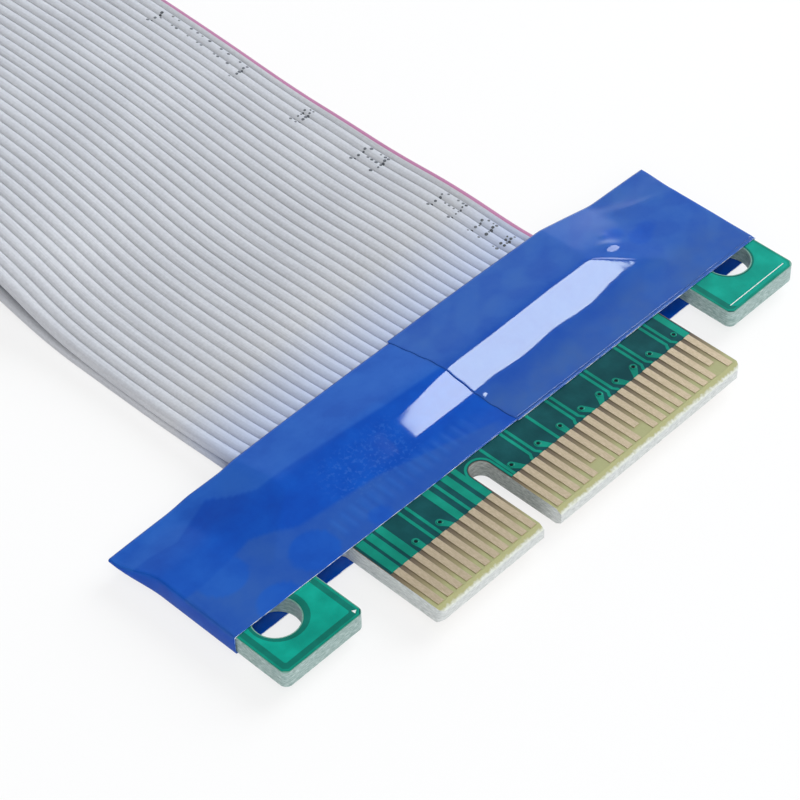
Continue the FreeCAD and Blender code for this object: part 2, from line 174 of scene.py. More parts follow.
def mask_finish(name, deep, mid, bright):
    material, tree, shader, place = new_finish(name)
    # Lacquer flows in patches of about 2 mm and dries with a fine orange peel of about 0.25 mm.
    patch = add(tree, "ShaderNodeTexNoise", {"Vector": place, "Scale": 1 / (2.0 * mm), "Detail": 3.0})
    tint = add(tree, "ShaderNodeValToRGB", {"Fac": patch.outputs["Fac"]})
    set_stops(tint, [(0.30, deep), (0.52, mid), (0.75, bright)])
    peel = add(tree, "ShaderNodeTexNoise", {"Vector": place, "Scale": 1 / (0.25 * mm), "Detail": 2.0})
    rise = add(tree, "ShaderNodeBump",
               {"Height": peel.outputs["Fac"], "Strength": 0.25, "Distance": 0.03 * mm})
    gloss = add(tree, "ShaderNodeMapRange", {"Value": patch.outputs["Fac"], "To Min": 0.18, "To Max": 0.30})
    feed(tree, shader, {"Base Color": tint.outputs[0], "Normal": rise.outputs[0],
                        "Roughness": gloss.outputs["Result"], "Specular IOR Level": 0.22})
    return material


mask_on_laminate = mask_finish("solder mask on laminate, printed", "#0A3F43", "#0C494C", "#125458")
mask_on_copper = mask_finish("solder mask on copper, printed", "#087967", "#0A8873", "#129882")
mask_on_line = mask_finish("solder mask on a bare line, printed", "#086556", "#0A7062", "#0E7B6C")
mask_on_pour = mask_finish("solder mask on a copper pour, printed", "#068B79", "#069985", "#0CA893")


def set_down(name, data):
    piece = bpy.data.objects.new(name, data)
    bpy.context.collection.objects.link(piece)
    return piece


def mesh_of(holder, keep=False):
    mesh = bpy.data.meshes.new_from_object(holder.evaluated_get(bpy.context.evaluated_depsgraph_get()))
    if not keep:
        bpy.data.objects.remove(holder)
    return mesh


def turn_out(mesh, weld=0.0):
    shell = bmesh.new()
    shell.from_mesh(mesh)
    if weld:
        bmesh.ops.remove_doubles(shell, verts=shell.verts, dist=weld)
    bmesh.ops.recalc_face_normals(shell, faces=shell.faces)
    shell.to_mesh(mesh)
    shell.free()


def coat(level, way, depth):
    # Lower and upper height of a layer on a face that looks up, way 1, or down, way -1.
    return sorted((level, level + way * depth))


def flat_print(name, outlines, heights, material):
    low, high = heights
    drawn = bpy.data.curves.new(name, "CURVE")
    drawn.dimensions = "2D"
    drawn.fill_mode = "BOTH"
    drawn.extrude = (high - low) / 2 * mm
    for outline in outlines:
        spline = drawn.splines.new("POLY")
        spline.points.add(len(outline) - 1)
        for point, (x, y) in zip(spline.points, outline):
            point.co = (x * mm, y * mm, 0, 1)
        spline.use_cyclic_u = True
    mesh = mesh_of(set_down(name, drawn))
    mesh.transform(Matrix.Translation((0, 0, (low + high) / 2 * mm)))
    turn_out(mesh, weld=0.0005 * mm)
    mesh.materials.clear()
    mesh.materials.append(material)
    piece = set_down(name, mesh)
    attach(piece, "root")


def ring(x, y, radius, steps=36):
    turns = [2 * math.pi * i / steps for i in range(steps)]
    return [(x + radius * math.cos(t), y + radius * math.sin(t)) for t in turns]


def strip(line, width):
    line = [Vector(p) for p in line]
    left = []
    right = []
    for i, p in enumerate(line):
        run = line[min(i + 1, len(line) - 1)] - line[max(i - 1, 0)]
        side = Vector((-run.y, run.x)).normalized() * width / 2
        left.append(tuple(p + side))
        right.append(tuple(p - side))
    return left + right[::-1]


def on_plug(outlines):
    return [[(x, plug_tip + y) for x, y in outline] for outline in outlines]


def pin_x(pin):
    return pin - 17.5 if pin <= first_bank else pin - 15.5


def key_arc(radius, steps):
    turns = np.linspace(0, math.pi, steps)
    return [(key_x - radius * math.cos(t), notch_end + radius * math.sin(t)) for t in turns]


def mask_outline(inset, back):
    side = board_side - inset
    inner = ear_inner + inset
    tongue = tongue_half - inset
    gap = ear_gap_end + inset
    ear = ear_front + inset
    key_side = 0.95 + inset
    right = [(tongue, mask_line), (tongue, gap), (inner, gap), (inner, ear + 0.3), (inner + 0.3, ear),
             (side - 0.5, ear), (side, ear + 0.5), (side, back)]
    left = [(-x, y) for x, y in reversed(right)]
    key = [(key_x - key_side, mask_line)] + key_arc(key_side, 13) + [(key_x + key_side, mask_line)]
    return left + key + right


def trace_outlines(wide, thin, pairs):
    shapes = []
    for pin, width in wide.items():
        shapes.append(strip([(pin_x(pin), trace_foot), (pin_x(pin), trace_end)], width))
    for pin, shift in thin.items():
        x = pin_x(pin) + shift
        shapes.append(strip([(x, trace_foot), (x, trace_end)], thin_trace))
    # The two lines of a pair leave their contacts and run on closer together.
    for pin in pairs:
        for x, shift in ((pin_x(pin), 0.24), (pin_x(pin + 1), -0.24)):
            line = [(x, trace_foot), (x + 0.1 * shift, 5.3), (x + shift, 5.62), (x + shift, trace_end)]
            shapes.append(strip(line, thin_trace))
    return shapes


def ear_outlines(sign):
    # A bare line parts the pour from its rim, on three sides of the left ear and on one of the right ear.
    def border(inner, front, outer, cut):
        x0 = ear_inner + inner
        y0 = ear_front + front
        x1 = board_side - outer
        outline = [(x0, pour_end), (x0, y0 + cut), (x0 + cut, y0), (x1 - cut, y0), (x1, y0 + cut),
                   (x1, pour_end)]
        return [(sign * x, y) for x, y in outline]

    x, y = ear_hole
    hole = ring(sign * x, y, hole_in_mask)
    if sign < 0:
        pour = [border(0.76, 0.76, 0.76, 0.12), ring(0.15 - x, y, 2.4)]
    else:
        pour = [border(0.76, 0.28, 0.28, 0.3), ring(x, y, 2.15)]
    return {"rim": [border(0.08, 0.08, 0.08, 0.4), hole], "line": [border(0.28, 0.28, 0.28, 0.3), hole],
            "pour": pour}


holes = [ring(s * ear_hole[0], ear_hole[1], hole_in_mask) for s in (-1, 1)]
ear_layers = {"rim": (0.018, mask_on_copper), "line": (0.023, mask_on_line), "pour": (0.028, mask_on_pour)}
traces = {
    "top": trace_outlines({1: 0.74, 2: 0.7, 3: 0.7, 8: 0.7, 10: 0.7, 11: 0.5},
                          {5: 0.13, 6: -0.13, 9: 0, 12: 0, 17: 0}, (14, 19, 23, 27, 30)),
    "bottom": trace_outlines({1: 0.74, 4: 0.7, 8: 0.7, 12: 0.7, 15: 0.7, 20: 0.7, 31: 0.7},
                             {3: 0, 6: 0.1, 7: -0.1, 10: 0, 11: 0, 14: 0, 19: 0, 23: 0, 27: 0, 32: 0},
                             (16, 21, 25, 29)),
}
for face, (level, way) in plug_faces.items():
    flat_print("plug_mask_" + face, on_plug([mask_outline(0.07, 16.7)] + holes), coat(level, way, mask_depth),
               mask_on_laminate)
    flat_print("plug_traces_" + face, on_plug(traces[face]), coat(level, way, copper_depth), mask_on_copper)
    foot = mask_line + 0.05
    rims = [strip([(key_x - 1.2, foot)] + key_arc(1.2, 17) + [(key_x + 1.2, foot)], 0.2)]
    rim_depth = copper_depth
    if face == "top":
        rims.append([(16.35, trace_foot), (16.97, trace_foot), (16.97, 10.4), (16.35, 10.4)])
        rim_depth = copper_depth - 0.004
    flat_print("plug_key_rim_" + face, on_plug(rims), coat(level, way, rim_depth), mask_on_copper)
    for sign, side in ((-1, "left"), (1, "right")):
        for part, outlines in ear_outlines(sign).items():
            depth, lacquer = ear_layers[part]
            flat_print("plug_ear_%s_%s_%s" % (part, side, face), on_plug(outlines), coat(level, way, depth),
                       lacquer)

# Vias of the plug board: drilled and plated holes beside the contacts, tented by the mask, so each is a small
# raised ring with a dimple and a teardrop of copper that runs down to its contact. The dimple is painted near
# black as painted shade in the hole.
via_y = 5.95
via_pad = 0.34
stub_half = 0.26
vias = {
    "top": {4: -13.54, 7: -10.95, 13: -3.05, 16: -0.01, 18: 2.49, 21: 4.98, 22: 7.07, 25: 9.05, 26: 11.11,
            29: 13.06},
    "bottom": {2: -15.5, 5: -12.5, 9: -8.5, 13: -2.5, 18: 2.5, 24: 8.5, 28: 12.5},
}
# One more via on the upper face stands in the border of the tongue, with no contact of its own.
lone_vias = {"top": [16.0], "bottom": []}


def new_group(name, inputs):
    tree = bpy.data.node_groups.new(name, "GeometryNodeTree")
    tree.interface.new_socket("Geometry", in_out="INPUT", socket_type="NodeSocketGeometry")
    for label, kind in inputs.items():
        tree.interface.new_socket(label, in_out="INPUT", socket_type="NodeSocket" + kind)
    tree.interface.new_socket("Geometry", in_out="OUTPUT", socket_type="NodeSocketGeometry")
    return tree, add(tree, "NodeGroupInput").outputs


def end_group(tree, geometry, material):
    real = add(tree, "GeometryNodeRealizeInstances", {0: geometry})
    coated = add(tree, "GeometryNodeSetMaterial", {"Geometry": real.outputs[0], "Material": material})
    add(tree, "NodeGroupOutput", {0: coated.outputs[0]})


def run_group(holder, tree, inputs):
    modifier = holder.modifiers.new(tree.name, "NODES")
    modifier.node_group = tree
    for socket in tree.interface.items_tree:
        if socket.name in inputs:
            modifier[socket.identifier] = inputs[socket.name]
    return mesh_of(holder)


def grow(name, verts, tree, inputs, facing=None):
    seed_mesh = bpy.data.meshes.new(name)
    seed_mesh.from_pydata(verts, [], [])
    if facing:
        stored = seed_mesh.attributes.new("facing", "FLOAT_VECTOR", "POINT")
        stored.data.foreach_set("vector", [v for way in facing for v in way])
    return set_down(name, run_group(set_down(name, seed_mesh), tree, inputs))


via_rings, given = new_group("via rings", {"Ring radius": "Float", "Lip radius": "Float",
                                           "Lacquer": "Material"})
hoop = add(via_rings, "GeometryNodeCurvePrimitiveCircle", {"Resolution": 20, "Radius": given["Ring radius"]})
bead = add(via_rings, "GeometryNodeCurvePrimitiveCircle", {"Resolution": 8, "Radius": given["Lip radius"]})
one = add(via_rings, "GeometryNodeCurveToMesh",
          {"Curve": hoop.outputs["Curve"], "Profile Curve": bead.outputs["Curve"]})
soft = add(via_rings, "GeometryNodeSetShadeSmooth", {0: one.outputs["Mesh"]})
many = add(via_rings, "GeometryNodeInstanceOnPoints",
           {"Points": given["Geometry"], "Instance": soft.outputs[0]})
end_group(via_rings, many.outputs[0], given["Lacquer"])

# Near-black mask for the middle of each via: painted shade in its hole.
via_hole_shade = mask_finish("solder mask on a via, painted dark as the hole's shade", "#04191B", "#062226", "#0A2C30")
for face, (level, way) in plug_faces.items():
    stubs = []
    for pin, x in vias[face].items():
        foot = pin_x(pin)
        fan = math.atan2(via_y - mask_line, x - foot)
        head = [(x + via_pad * math.cos(t), via_y + via_pad * math.sin(t))
                for t in np.linspace(fan - math.pi / 2, fan + math.pi / 2, 11)]
        stubs.append([(foot + stub_half, trace_foot)] + head + [(foot - stub_half, trace_foot)])
    low, high = coat(level, way, 0.03)
    flat_print("plug_via_stubs_" + face, on_plug(stubs), (low, high), mask_on_copper)
    spots = list(vias[face].values()) + lone_vias[face]
    # Each dimple is a near-black disc, painted shade in the via's hole.
    hole_shades = [ring(x, via_y, 0.15, 12) for x in spots]
    flat_print("plug_via_hole_shade_" + face, on_plug(hole_shades), (low - 0.004, high + 0.004), via_hole_shade)
    points = [(x * mm, (plug_tip + via_y) * mm, (level + way * 0.035) * mm) for x in spots]
    rings = grow("plug_vias_" + face, points, via_rings,
                 {"Ring radius": 0.21 * mm, "Lip radius": 0.055 * mm, "Lacquer": mask_on_copper})
    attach(rings, "root")


# Ear marks of the plug board: a thin white line on one ear and a small white arrowhead on the other, printed
# in epoxy ink on top of the mask. They are plain marks with no lettering.
def grained_finish(name, size, detail, stops, rough, relief=None, metallic=0.0):
    # One noise, with its grain in millimetres along X, Y and Z, varies the tint, the gloss and the relief.
    material, tree, shader, place = new_finish(name)
    grain = add(tree, "ShaderNodeMapping", {"Vector": place, "Scale": [1 / (s * mm) for s in size]})
    grain = add(tree, "ShaderNodeTexNoise", {"Vector": grain.outputs[0], "Scale": 1.0, "Detail": detail})
    tint = add(tree, "ShaderNodeValToRGB", {"Fac": grain.outputs["Fac"]})
    set_stops(tint, stops)
    if isinstance(rough, tuple):
        gloss = {"Value": grain.outputs["Fac"], "To Min": rough[0], "To Max": rough[1]}
        rough = add(tree, "ShaderNodeMapRange", gloss).outputs["Result"]
    if relief:
        height = {"Height": grain.outputs["Fac"], "Strength": relief[0], "Distance": relief[1] * mm}
        feed(tree, shader, {"Normal": add(tree, "ShaderNodeBump", height).outputs[0]})
    feed(tree, shader, {"Base Color": tint.outputs[0], "Roughness": rough, "Metallic": metallic})
    return material


# Epoxy ink, screen printed: a matt white that thins to a greenish white where the mask shows through.
ink = grained_finish("white epoxy ink, screen printed", (0.3, 0.3, 0.3), 4.0,
                     [(0.3, "#C9D8D2"), (0.6, "#EDF2EF")], 0.6)
ink_heights = (2.7, 2.716)
flat_print("plug_ear_line", on_plug([strip([(21.6, 4.75), (28.3, 4.72)], 0.07)]), ink_heights, ink)
flat_print("plug_ear_arrow", on_plug([[(-21.5, 4.42), (-21.2, 4.6), (-21.52, 4.78)]]), ink_heights, ink)

# Plug contacts: flat copper fingers plated with nickel and hard gold, on both faces of the tongue. The
# plating is a pale satin gold, with fine rubbing along the way that the card is pushed in.
# Real rubbing is finer than a pixel here, so the grain is drawn 0.09 mm wide and 0.3 mm long.
gold = grained_finish("hard gold plate on copper, rubbed", (0.09, 0.3, 0.09), 3.0,
                      [(0.3, "#C1AD8F"), (0.5, "#C9B598"), (0.72, "#D3BFA3")], (0.40, 0.54),
                      relief=(0.15, 0.01), metallic=1.0)
finish_nodes(gold, "plug_contacts_top", "plug_contacts_bottom")

# Bared wires and their joints at both boards: tinned copper strands pulled from the ribbons, soldered down on
# the boards in one row a face. Tin is a pale grey metal, brighter where the solder flowed smooth.
tin = grained_finish("tinned copper, drawn and soldered", (0.4, 0.4, 0.4), 4.0,
                     [(0.3, "#A7A9AA"), (0.55, "#C8CACB"), (0.75, "#E0E1E0")], (0.22, 0.42),
                     relief=(0.2, 0.03), metallic=1.0)
for end in ("plug", "socket"):
    finish_nodes(tin, end + "_wires_top", end + "_wires_bottom", end + "_solder_top", end + "_solder_bottom")

# Ribbon cables: two flat cables, one for each face, of 34 stranded wires side by side in one extruded PVC
# cover. Each wire shows as a rounded ridge, and the last ridge of the upper cable has a pink edge.
ways = 34
wire_pitch = 1.0
cover_thickness = 0.9
ribbon_width = 33.9

ribbed, given = new_group("ribbed ribbon", {"Ways": "Int", "Pitch": "Float", "Half thickness": "Float",
                                            "Steps a way": "Int", "Cover": "Material"})
sums = {label: given[label] for label in ("Ways", "Pitch", "Half thickness", "Steps a way")}
sums["number"] = add(ribbed, "GeometryNodeInputIndex").outputs[0]
# The points run along the top of the section and back again below it. They crowd towards the grooves, where
# the cover turns sharply, and each ridge is a low round with a narrow groove between it and the next.
for name, operation, *terms in (
        ("steps", "MULTIPLY", "Ways", "Steps a way"), ("points", "MULTIPLY_ADD", "steps", 2.0, 2.0),
        ("corner", "ADD", "steps", 0.5), ("below", "GREATER_THAN", "number", "corner"),
        ("last", "MULTIPLY_ADD", "steps", 2.0, 1.0), ("back again", "SUBTRACT", "last", "number"),
        ("turned", "SUBTRACT", "back again", "number"), ("step", "MULTIPLY_ADD", "below", "turned", "number"),
        ("way", "DIVIDE", "step", "Steps a way"), ("angle", "MULTIPLY", "way", 2 * math.pi),
        ("sine", "SINE", "angle"), ("crowded", "MULTIPLY_ADD", "sine", -0.72 / (2 * math.pi), "way"),
        ("nudged", "ADD", "crowded", 0.0001), ("share", "FRACT", "nudged"),
        ("swing", "MULTIPLY_ADD", "share", 2.0, -1.0), ("from crest", "ABSOLUTE", "swing"),
        ("squared", "POWER", "from crest", 2.0), ("round", "MULTIPLY", "squared", 0.34),
        ("groove", "POWER", "from crest", 20.0), ("fall", "MULTIPLY_ADD", "groove", 0.28, "round"),
        ("left", "SUBTRACT", 1.0, "fall"), ("crest", "MULTIPLY", "Half thickness", "left"),
        ("sign", "MULTIPLY_ADD", "below", -2.0, 1.0), ("height", "MULTIPLY", "crest", "sign"),
        ("across", "MULTIPLY_ADD", "Ways", -0.5, "crowded"),
        ("scale", "MULTIPLY", "Pitch", ribbon_width / ways), ("width", "MULTIPLY", "across", "scale")):
    values = {i: sums.get(term, term) for i, term in enumerate(terms)}
    sums[name] = add(ribbed, "ShaderNodeMath", values, operation=operation).outputs[0]
loop = add(ribbed, "GeometryNodeMeshCircle", {"Vertices": sums["points"]})
spot = add(ribbed, "ShaderNodeCombineXYZ", {"X": sums["width"], "Y": sums["height"]})
section = add(ribbed, "GeometryNodeSetPosition", {"Geometry": loop.outputs[0], "Position": spot.outputs[0]})
kept = add(ribbed, "GeometryNodeStoreNamedAttribute",
           {"Geometry": section.outputs[0], "Name": "across", "Value": sums["across"]},
           data_type="FLOAT", domain="POINT")
outline = add(ribbed, "GeometryNodeMeshToCurve", {"Mesh": kept.outputs[0]})
length = add(ribbed, "GeometryNodeSplineParameter").outputs["Length"]
marked = add(ribbed, "GeometryNodeStoreNamedAttribute",
             {"Geometry": given["Geometry"], "Name": "along", "Value": length},
             data_type="FLOAT", domain="POINT")
swept = add(ribbed, "GeometryNodeCurveToMesh",
            {"Curve": marked.outputs[0], "Profile Curve": outline.outputs[0], "Fill Caps": True})
outward = add(ribbed, "GeometryNodeFlipFaces", {"Mesh": swept.outputs[0]})
soft = add(ribbed, "GeometryNodeSetShadeSmooth", {0: outward.outputs[0]})
end_group(ribbed, soft.outputs[0], given["Cover"])


# Soft PVC, extruded: a cool pale grey with a low satin sheen, fine pores and faint lengthwise draw lines. The
# marked one has its last ridge printed pink down the outer side.
def pvc_finish(name, pink):
    material, tree, shader, place = new_finish(name)
    across = add(tree, "ShaderNodeAttribute", attribute_name="across").outputs["Fac"]
    along = add(tree, "ShaderNodeAttribute", attribute_name="along").outputs["Fac"]
    flat = add(tree, "ShaderNodeCombineXYZ", {"X": across, "Y": along})
    # Draw lines are 0.08 mm apart across the ridge and about 15 mm long.
    drawn = add(tree, "ShaderNodeMapping", {"Vector": flat.outputs[0], "Scale": (12.0, 1 / (15 * mm), 1.0)})
    line = add(tree, "ShaderNodeTexNoise", {"Vector": drawn.outputs[0], "Scale": 1.0, "Detail": 3.0})
    cloud = add(tree, "ShaderNodeTexNoise", {"Vector": place, "Scale": 1 / (9 * mm), "Detail": 3.0})
    pore = add(tree, "ShaderNodeTexNoise", {"Vector": place, "Scale": 1 / (0.22 * mm), "Detail": 2.0})
    mixed = 0.0
    for grain, weight in ((line, 0.45), (cloud, 0.25), (pore, 0.30)):
        mixed = add(tree, "ShaderNodeMath", {0: grain.outputs["Fac"], 1: weight, 2: mixed},
                    operation="MULTIPLY_ADD").outputs[0]
    tint = add(tree, "ShaderNodeValToRGB", {"Fac": mixed})
    set_stops(tint, [(0.36, "#B7B9BF"), (0.5, "#C2C4CA"), (0.64, "#CED0D5")])
    # Painted light: a faint blue, painted as light bounced from the film, on the first few millimetres beside
    # it.
    film_bounce_light = add(tree, "ShaderNodeMapRange",
               {"Value": along, "From Min": 6.5 * mm, "From Max": 13 * mm, "To Min": 0.6, "To Max": 0.0})
    shown = add(tree, "ShaderNodeMix",
                {0: film_bounce_light.outputs["Result"], 6: tint.outputs[0], 7: colour("#ACBBDE")}, data_type="RGBA")
    if pink:
        edge = add(tree, "ShaderNodeMath", {0: across, 1: ways / 2 - 0.5}, operation="GREATER_THAN")
        shown = add(tree, "ShaderNodeMix", {0: edge.outputs[0], 6: shown.outputs[2], 7: colour("#AC6A90")},
                    data_type="RGBA")
    gloss = add(tree, "ShaderNodeMapRange", {"Value": mixed, "To Min": 0.42, "To Max": 0.58})
    rise = add(tree, "ShaderNodeBump",
               {"Height": pore.outputs["Fac"], "Strength": 0.18, "Distance": 0.03 * mm})
    feed(tree, shader, {"Base Color": shown.outputs[2], "Roughness": gloss.outputs["Result"],
                        "Normal": rise.outputs[0]})
    return material


pvc = pvc_finish("grey PVC cable cover, extruded", False)
pvc_marked = pvc_finish("grey PVC cable cover, extruded, pink edge mark", True)

# Route points are across the middle of each cable: Y, Z and the turn about its own line in degrees.
upper_route = [(-109.2, 3.13, 0), (-106.8, 3.13, 0), (-102.8, 2.22, -0.9), (-95.0, 2.20, -2.6),
               (-88.0, 1.97, -1.8), (-82.0, 2.30, -1.2), (-76.0, 3.30, 2.4), (-66.0, 4.75, 4.6),
               (-50.0, 5.0, 3.6), (-20.0, 3.3, 1.4), (20.15, 1.75, 0), (58.15, 1.60, 0), (78.15, 2.50, 0),
               (87.65, 3.40, 0), (92.75, 4.25, 0), (96.75, 5.0, 0), (99.15, 5.0, 0)]
lower_route = [(-109.2, 0.63, 0), (-106.8, 0.63, 0), (-102.8, 1.25, -0.9), (-95.0, 0.98, -1.6),
               (-88.0, 0.80, -1.0), (-82.0, 0.52, 0), (-76.0, 1.10, 1.9), (-66.0, 3.0, 3.6),
               (-50.0, 3.6, 2.8), (-20.0, 1.9, 0.9), (20.15, 0.60, 0), (58.15, 0.58, 0), (78.15, 1.20, 0),
               (87.65, 2.40, 0), (92.75, 3.25, 0), (96.75, 2.5, 0), (99.15, 2.5, 0)]


def lay_ribbon(name, route, material, node):
    drawn = bpy.data.curves.new(name, "CURVE")
    drawn.dimensions = "3D"
    drawn.twist_mode = "Z_UP"
    spline = drawn.splines.new("NURBS")
    spline.points.add(len(route) - 1)
    for point, (y, z, turn) in zip(spline.points, route):
        point.co = (0, y * mm, z * mm, 1)
        point.tilt = math.radians(turn)
    spline.order_u = 3
    spline.use_endpoint_u = True
    spline.resolution_u = 7
    holder = set_down(name, drawn)
    path = [tuple(v.co) for v in mesh_of(holder, keep=True).vertices]
    mesh = run_group(holder, ribbed, {"Ways": ways, "Pitch": wire_pitch * mm, "Steps a way": 10,
                                      "Half thickness": cover_thickness / 2 * mm, "Cover": material})
    ribbon = set_down(name, mesh)
    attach(ribbon, "root")
    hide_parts(node)
    return ribbon


lay_ribbon("lower_cable", lower_route, pvc, "lower_ribbon")
upper_cable = lay_ribbon("upper_cable", upper_route, pvc_marked, "upper_ribbon")

# Print on the upper cable: rows of plain black ink dots near the pink edge, jetted on the ridges as the cable
# was made. They are a plain pattern and spell nothing. The ink is matt and worn to a dark grey.
black_ink = grained_finish("black jetted ink on PVC", (0.6, 0.6, 0.6), 3.0,
                           [(0.35, "#3A3D42"), (0.6, "#6A6E75")], 0.55)

ink_dots, given = new_group("ink dots", {"Dot radius": "Float", "Ink depth": "Float", "Ink": "Material"})
dot = add(ink_dots, "GeometryNodeMeshCylinder",
          {"Vertices": 9, "Radius": given["Dot radius"], "Depth": given["Ink depth"]})
facing = add(ink_dots, "GeometryNodeInputNamedAttribute", {"Name": "facing"}, data_type="FLOAT_VECTOR")
lying = add(ink_dots, "FunctionNodeAlignRotationToVector", {"Vector": facing.outputs[0]}, axis="Z")
spread = add(ink_dots, "FunctionNodeRandomValue", {2: 0.6, 3: 1.15, "Seed": 5}, data_type="FLOAT")
many = add(ink_dots, "GeometryNodeInstanceOnPoints",
           {"Points": given["Geometry"], "Instance": dot.outputs[0], "Rotation": lying.outputs[0],
            "Scale": spread.outputs[1]})
end_group(ink_dots, many.outputs[0], given["Ink"])

dots = []
for start, stop, fill in ((-71.2, -60.9, 0.45), (-79.3, -78.7, 0.8), (-88.2, -85.9, 0.8), (-97.1, -94.8, 0.8),
                          (-100.5, -99.3, 0.7), (-102.5, -102.1, 0.7)):
    for i, y in enumerate(np.arange(start, stop, 0.47)):
        for x, stride, sway in ((15.66, 0.618, 5), (14.72, 0.732, 7)):
            if (i * stride) % 1 < fill:
                dots.append((x, y + 0.12 * math.sin(sway * i)))
    for y in (start, stop):
        dots += [(15.3, y + 0.1), (15.0, y), (14.35, y - 0.05), (13.95, y), (13.7, y + 0.2)]
surface = BVHTree.FromPolygons([v.co for v in upper_cable.data.vertices],
                               [p.vertices for p in upper_cable.data.polygons])
hits = [surface.ray_cast((x * mm, y * mm, 20 * mm), (0, 0, -1)) for x, y in dots]
marks = grow("upper_cable_print", [tuple(h[0]) for h in hits], ink_dots,
             {"Dot radius": 0.15 * mm, "Ink depth": 0.03 * mm, "Ink": black_ink},
             facing=[tuple(h[1]) for h in hits])
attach(marks, "root")

# Socket board: a smaller card of the same laminate behind the socket, with the same green mask, bare along
# the row of contact tails, and a screw hole at each end.
finish_nodes(laminate, "socket_board")
socket_faces = {"top": (4.55, 1), "bottom": (2.95, -1)}
low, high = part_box("socket_board")
board_back = low.y / mm
board_front = high.y / mm
half = high.x / mm
screw_x = 25.65
screw_y = 110.35
tails_half = 17.3
edge = [(-half + 0.2, board_back + 0.2), (half - 0.2, board_back + 0.2), (half - 0.2, board_front - 0.2),
        (tails_half, board_front - 0.2), (tails_half, board_front - 3.1), (-tails_half, board_front - 3.1),
        (-tails_half, board_front - 0.2), (-half + 0.2, board_front - 0.2)]
screws = [ring(s * screw_x, screw_y, hole_in_mask) for s in (-1, 1)]
runs = []
for pin in range(1, 33):
    line = [(pin_x(pin), board_front - 3.2), (pin_x(pin), board_back + 6.0)]
    runs.append(strip(line, wide_trace if pin % 3 == 1 else thin_trace))
for face, (level, way) in socket_faces.items():
    copper = coat(level, way, copper_depth)
    flat_print("socket_mask_" + face, [edge] + screws, coat(level, way, mask_depth), mask_on_laminate)
    flat_print("socket_traces_" + face, runs, copper, mask_on_copper)
    for sign, side in ((-1, "left"), (1, "right")):
        lug = [(sign * 18.2, board_back + 1.0), (sign * (half - 0.9), board_back + 1.0),
               (sign * (half - 0.9), board_front - 0.6), (sign * 18.2, board_front - 0.6)]
        flat_print("socket_pour_%s_%s" % (side, face), [lug, ring(sign * screw_x, screw_y, 2.3)], copper,
                   mask_on_copper)

# Socket housing: one black part moulded in glass-filled polyester, with the keyed slot, 64 contact chambers
# and the tail slits. The skin is an even fine spark-eroded texture, half matt, with faint flow clouds.
polyester, tree, shader, place = new_finish("black glass-filled polyester, moulded")
spark = add(tree, "ShaderNodeTexNoise", {"Vector": place, "Scale": 1 / (0.18 * mm), "Detail": 3.0})
cloud = add(tree, "ShaderNodeTexNoise", {"Vector": place, "Scale": 1 / (6 * mm), "Detail": 3.0})
tint = add(tree, "ShaderNodeValToRGB", {"Fac": cloud.outputs["Fac"]})
set_stops(tint, [(0.3, "#17181A"), (0.55, "#1E2022"), (0.78, "#292B2E")])
gloss = add(tree, "ShaderNodeMapRange", {"Value": spark.outputs["Fac"], "To Min": 0.36, "To Max": 0.56})
rise = add(tree, "ShaderNodeBump", {"Height": spark.outputs["Fac"], "Strength": 0.22, "Distance": 0.03 * mm})
feed(tree, shader, {"Base Color": tint.outputs[0], "Roughness": gloss.outputs["Result"],
                    "Normal": rise.outputs[0]})
finish_nodes(polyester, "socket_housing")
finish_nodes(gold, "socket_contacts_top", "socket_contacts_bottom")
finish_nodes(tin, "socket_tail_solder_top", "socket_tail_solder_bottom")

# Insulating films: a strip of blue polyester adhesive tape, wrapped once round each soldered joint, pressed
# on to the board in front, ramped up over the ends of the ribbons and stuck to itself at the sides behind.
film_half = 29.0
film_depth = 13.4
film_thickness = 0.09
over_board = 0.86


def ease(a, b, t):
    t = np.clip((t - a) / (b - a), 0, 1)
    return t * t * (3 - 2 * t)


def band(a, b, c, d, t):
    return ease(a, b, t) * (1 - ease(c, d, t))


def slope(a, b, t, foot, head):
    # A straight climb from 0 at a to 1 at b, rounded at its foot and its head.
    def lift(u, bend):
        return np.where(u < -bend, 0, np.where(u > bend, u, (u + bend) ** 2 / (4 * bend)))
    return (lift(t - a, foot) - lift(t - b, head)) / (b - a)


def ripple(x, y, cx, cy, length, width, angle, size):
    c = math.cos(math.radians(angle))
    s = math.sin(math.radians(angle))
    u = ((x - cx) * c + (y - cy) * s) / length
    v = (-(x - cx) * s + (y - cy) * c) / width
    return size * np.exp(-u * u - v * v)


def film_height(x, y, fall, lean):
    # Height of the film over the board's middle plane, with y counted from the board's contact edge. Behind
    # the ribbon's end it falls with the ribbon and leans with its turn.
    on_board = over_board - 0.76 * ease(16.7, 21.6, y)
    foot = np.interp(x, [14.0, 20.0], [1.6, 2.3]) + 0.2 * np.sin(2 * np.pi * x / 7.7) * ease(0, 3, x)
    head = np.interp(x, [-7.0, -4.0, -1.0, 1.0], [1.6, 1.2, 0.6, 0.35])
    climb = 1.0 * slope(12.2, 16.0, y, foot, head)
    on_ribbon = over_board + climb - fall * slope(17.0, 22.0, y, 0.7, 0.7)
    # At each end of the ribbon the film is tented from the ribbon's corner down to the board.
    fold = np.interp(y, [12.2, 16.0, 17.5, 22.0], [22.0, 17.2, 17.1, 17.3])
    reach = np.interp(y, [12.2, 16.0, 22.0], [0.8, 5.9, 6.2])
    spread = 1 - slope(0.0, 1.0, (np.abs(x) - fold) / reach, 0.2 / reach, 0.7 / reach)
    leaning = lean * x * ease(18.0, 22.2, y)
    return on_board + (on_ribbon + leaning - on_board) * spread
